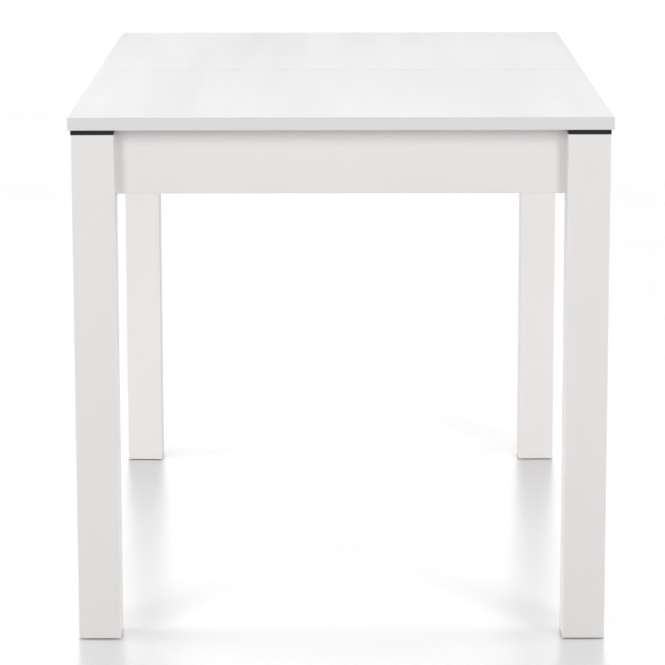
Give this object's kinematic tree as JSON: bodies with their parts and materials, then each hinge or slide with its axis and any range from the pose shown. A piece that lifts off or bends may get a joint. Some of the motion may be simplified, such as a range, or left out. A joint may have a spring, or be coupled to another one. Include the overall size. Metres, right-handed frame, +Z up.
{
  "type": "extending table",
  "caption": "Rectangular split-top extending dining table on square corner legs, with end-sliding tops, black leg pads, seam locks and a leaf stored under the top.",
  "frame": {"origin": "on the floor under the middle of the closed table", "axes": "+Z up, +Y along the length towards the rear end, +X across the width to the right when seen from the front end"},
  "size_m": [0.76, 1.18, 0.75],
  "materials": {
    "white_board": "fine-textured white melamine on board",
    "white_band": "white edge band, satin",
    "white_leg": "white foil with a faint wood pore",
    "white_apron": "white foil with a faint wood pore",
    "black_pad": "moulded, fine grain",
    "grey_glide": "moulded, satin",
    "hardwood": "planed beech, unfinished",
    "zinc_fastener": "bright zinc plate",
    "zinc_sheet": "zinc-plated sheet",
    "rail_steel": "rolled and zinc-plated",
    "lock_steel": "stamped and zinc-plated",
    "nylon": "natural nylon",
    "stop_rubber": "moulded"
  },
  "bodies": {
    "frame": {"apron_dowels": "hardwood", "apron_front": "white_apron", "apron_left": "white_apron", "apron_rear": "white_apron", "apron_right": "white_apron", "bearer_angles": "zinc_sheet", "bearer_screws": "zinc_fastener", "bracket_nuts": "zinc_fastener", "bracket_screws": "zinc_fastener", "bracket_washers": "zinc_fastener", "corner_bracket_front_left": "zinc_sheet", "corner_bracket_front_right": "zinc_sheet", "corner_bracket_rear_left": "zinc_sheet", "corner_bracket_rear_right": "zinc_sheet", "foot_glide_front_left": "grey_glide", "foot_glide_front_right": "grey_glide", "foot_glide_rear_left": "grey_glide", "foot_glide_rear_right": "grey_glide", "hanger_bolts": "zinc_fastener", "leaf_bearer_front": "hardwood", "leaf_bearer_rear": "hardwood", "leaf_dowels": "hardwood", "leaf_edge_bands": "white_band", "leaf_panel": "white_board", "leg_front_left": "white_leg", "leg_front_right": "white_leg", "leg_pad_front_left": "black_pad", "leg_pad_front_right": "black_pad", "leg_pad_rear_left": "black_pad", "leg_pad_rear_right": "black_pad", "leg_rear_left": "white_leg", "leg_rear_right": "white_leg", "rail_screws": "zinc_fastener", "rail_stops": "stop_rubber", "slide_rail_left": "rail_steel", "slide_rail_right": "rail_steel"},
    "front_half": {"front_batten_left": "hardwood", "front_batten_right": "hardwood", "front_runner_left": "rail_steel", "front_runner_right": "rail_steel", "front_shoes": "nylon", "front_top": "white_board", "front_top_band": "white_band", "front_top_screws": "zinc_fastener", "seam_dowels": "hardwood", "lock_bases": "lock_steel"},
    "rear_half": {"rear_batten_left": "hardwood", "rear_batten_right": "hardwood", "rear_runner_left": "rail_steel", "rear_runner_right": "rail_steel", "rear_shoes": "nylon", "rear_top": "white_board", "rear_top_band": "white_band", "rear_top_screws": "zinc_fastener", "lock_keepers": "lock_steel"},
    "lock_left": {"lock_lever_left": "lock_steel"},
    "lock_right": {"lock_lever_right": "lock_steel"}
  },
  "joints": [
    {"name": "front_slide", "type": "slide", "parent": "frame", "child": "front_half", "axis": [0, -1, 0], "range_m": [0, 0.2]},
    {"name": "rear_slide", "type": "slide", "parent": "frame", "child": "rear_half", "axis": [0, 1, 0], "range_m": [0, 0.2]},
    {"name": "lock_left_turn", "type": "hinge", "parent": "front_half", "child": "lock_left", "pos_m": [-0.15, -0.03, 0.7236], "axis": [0, 0, -1], "range_deg": [0, 90]},
    {"name": "lock_right_turn", "type": "hinge", "parent": "front_half", "child": "lock_right", "pos_m": [0.15, -0.03, 0.7236], "axis": [0, 0, 1], "range_deg": [0, 90]}
  ]
}
